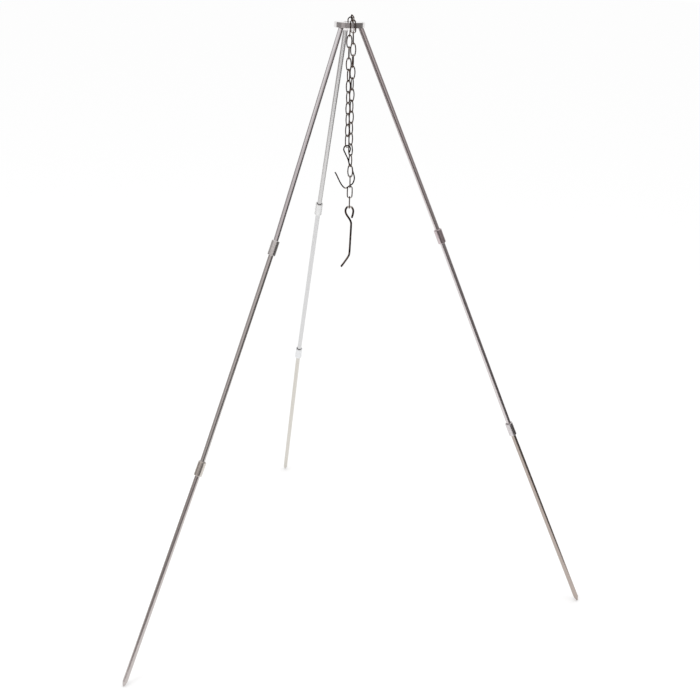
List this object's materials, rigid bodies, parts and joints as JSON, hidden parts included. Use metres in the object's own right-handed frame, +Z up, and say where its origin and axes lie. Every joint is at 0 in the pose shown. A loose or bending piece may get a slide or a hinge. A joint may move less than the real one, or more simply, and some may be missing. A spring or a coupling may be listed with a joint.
{
  "type": "cauldron stand",
  "caption": "Plug-together tripod with a round head disc, a doubled link chain and wire hooks that hang a cauldron over a fire at a chosen height.",
  "frame": {"origin": "on the ground, under the middle of the space that the feet span", "axes": "+Z up, +Y towards the back leg and away from the picture's viewer, +X to the viewer's right"},
  "size_m": [0.7888, 0.7602, 1.0218],
  "materials": {
    "rods": "drawn bright steel, polished along its length",
    "sleeves": "satin turned steel",
    "head": "turned steel, satin top and polished rim",
    "chain": "bright wire, a little darkened",
    "hooks": "bent wire, a little darkened"
  },
  "bodies": {
    "head": {"head_disc": "head", "rim_link": "chain", "hole_link": "chain"},
    "left_upper": {"left_upper_rod": "rods"},
    "left_middle": {"left_upper_sleeve": "sleeves", "left_middle_rod": "rods"},
    "left_lower": {"left_lower_sleeve": "sleeves", "left_lower_rod": "rods"},
    "right_upper": {"right_upper_rod": "rods"},
    "right_middle": {"right_upper_sleeve": "sleeves", "right_middle_rod": "rods"},
    "right_lower": {"right_lower_sleeve": "sleeves", "right_lower_rod": "rods"},
    "back_upper": {"back_upper_rod": "rods"},
    "back_middle": {"back_upper_sleeve": "sleeves", "back_middle_rod": "rods"},
    "back_lower": {"back_lower_sleeve": "sleeves", "back_lower_rod": "rods"},
    "left_strand": {"left_link_1": "chain", "left_link_2": "chain", "left_link_3": "chain", "left_link_4": "chain", "left_link_5": "chain", "left_link_6": "chain", "left_link_7": "chain", "left_link_8": "chain", "left_link_9": "chain", "left_link_10": "chain", "left_link_11": "chain", "adjusting_hook": "hooks"},
    "right_strand": {"right_link_1": "chain", "right_link_2": "chain", "right_link_3": "chain", "right_link_4": "chain", "right_link_5": "chain", "right_link_6": "chain", "right_link_7": "chain", "right_link_8": "chain", "right_link_9": "chain", "right_link_10": "chain", "right_link_11": "chain", "right_link_12": "chain", "right_link_13": "chain", "right_link_14": "chain", "right_link_15": "chain"},
    "tail_link": {"right_link_16": "chain"},
    "end_link": {"right_link_17": "chain"},
    "pot_hook": {"pot_hook": "hooks"}
  },
  "joints": [
    {"name": "left_upper_slide", "type": "slide", "parent": "head", "child": "left_upper", "axis": [-0.271, -0.2727, -0.9231], "range_m": [0, 0.0052]},
    {"name": "left_middle_slide", "type": "slide", "parent": "left_upper", "child": "left_middle", "axis": [-0.2932, -0.2749, -0.9157], "range_m": [0, 0.012]},
    {"name": "left_lower_slide", "type": "slide", "parent": "left_middle", "child": "left_lower", "axis": [-0.3092, -0.2837, -0.9077], "range_m": [0, 0.012]},
    {"name": "right_upper_slide", "type": "slide", "parent": "head", "child": "right_upper", "axis": [0.4007, -0.0337, -0.9156], "range_m": [0, 0.0052]},
    {"name": "right_middle_slide", "type": "slide", "parent": "right_upper", "child": "right_middle", "axis": [0.3926, -0.0485, -0.9184], "range_m": [0, 0.012]},
    {"name": "right_lower_slide", "type": "slide", "parent": "right_middle", "child": "right_lower", "axis": [0.4063, -0.03, -0.9133], "range_m": [0, 0.012]},
    {"name": "back_upper_slide", "type": "slide", "parent": "head", "child": "back_upper", "axis": [-0.1141, 0.3824, -0.9169], "range_m": [0, 0.0052]},
    {"name": "back_middle_slide", "type": "slide", "parent": "back_upper", "child": "back_middle", "axis": [-0.1047, 0.3937, -0.9133], "range_m": [0, 0.012]},
    {"name": "back_lower_slide", "type": "slide", "parent": "back_middle", "child": "back_lower", "axis": [-0.0896, 0.3863, -0.918], "range_m": [0, 0.012]},
    {"name": "right_strand_sway", "type": "hinge", "parent": "head", "child": "right_strand", "pos_m": [-0.05572, -0.09073, 1.01337], "axis": [0, 1, 0], "range_deg": [-8, 8]},
    {"name": "left_strand_sway", "type": "hinge", "parent": "head", "child": "left_strand", "pos_m": [-0.05978, -0.0622, 1.00388], "axis": [0, 1, 0], "range_deg": [-8.5, 8.5]},
    {"name": "tail_sway", "type": "hinge", "parent": "right_strand", "child": "tail_link", "pos_m": [-0.05316, -0.08065, 0.75597], "axis": [0, 1, 0], "range_deg": [-25, 25]},
    {"name": "tail_tilt", "type": "hinge", "parent": "tail_link", "child": "end_link", "pos_m": [-0.05316, -0.08065, 0.73884], "axis": [1, 0, 0], "range_deg": [-30, 30]},
    {"name": "pot_hook_swing", "type": "hinge", "parent": "end_link", "child": "pot_hook", "pos_m": [-0.05316, -0.08065, 0.72171], "axis": [0, 1, 0], "range_deg": [-30, 30]}
  ],
  "couplings": [
    {"joint": "left_strand_sway", "follows": "right_strand_sway", "ratio": 1.057}
  ]
}
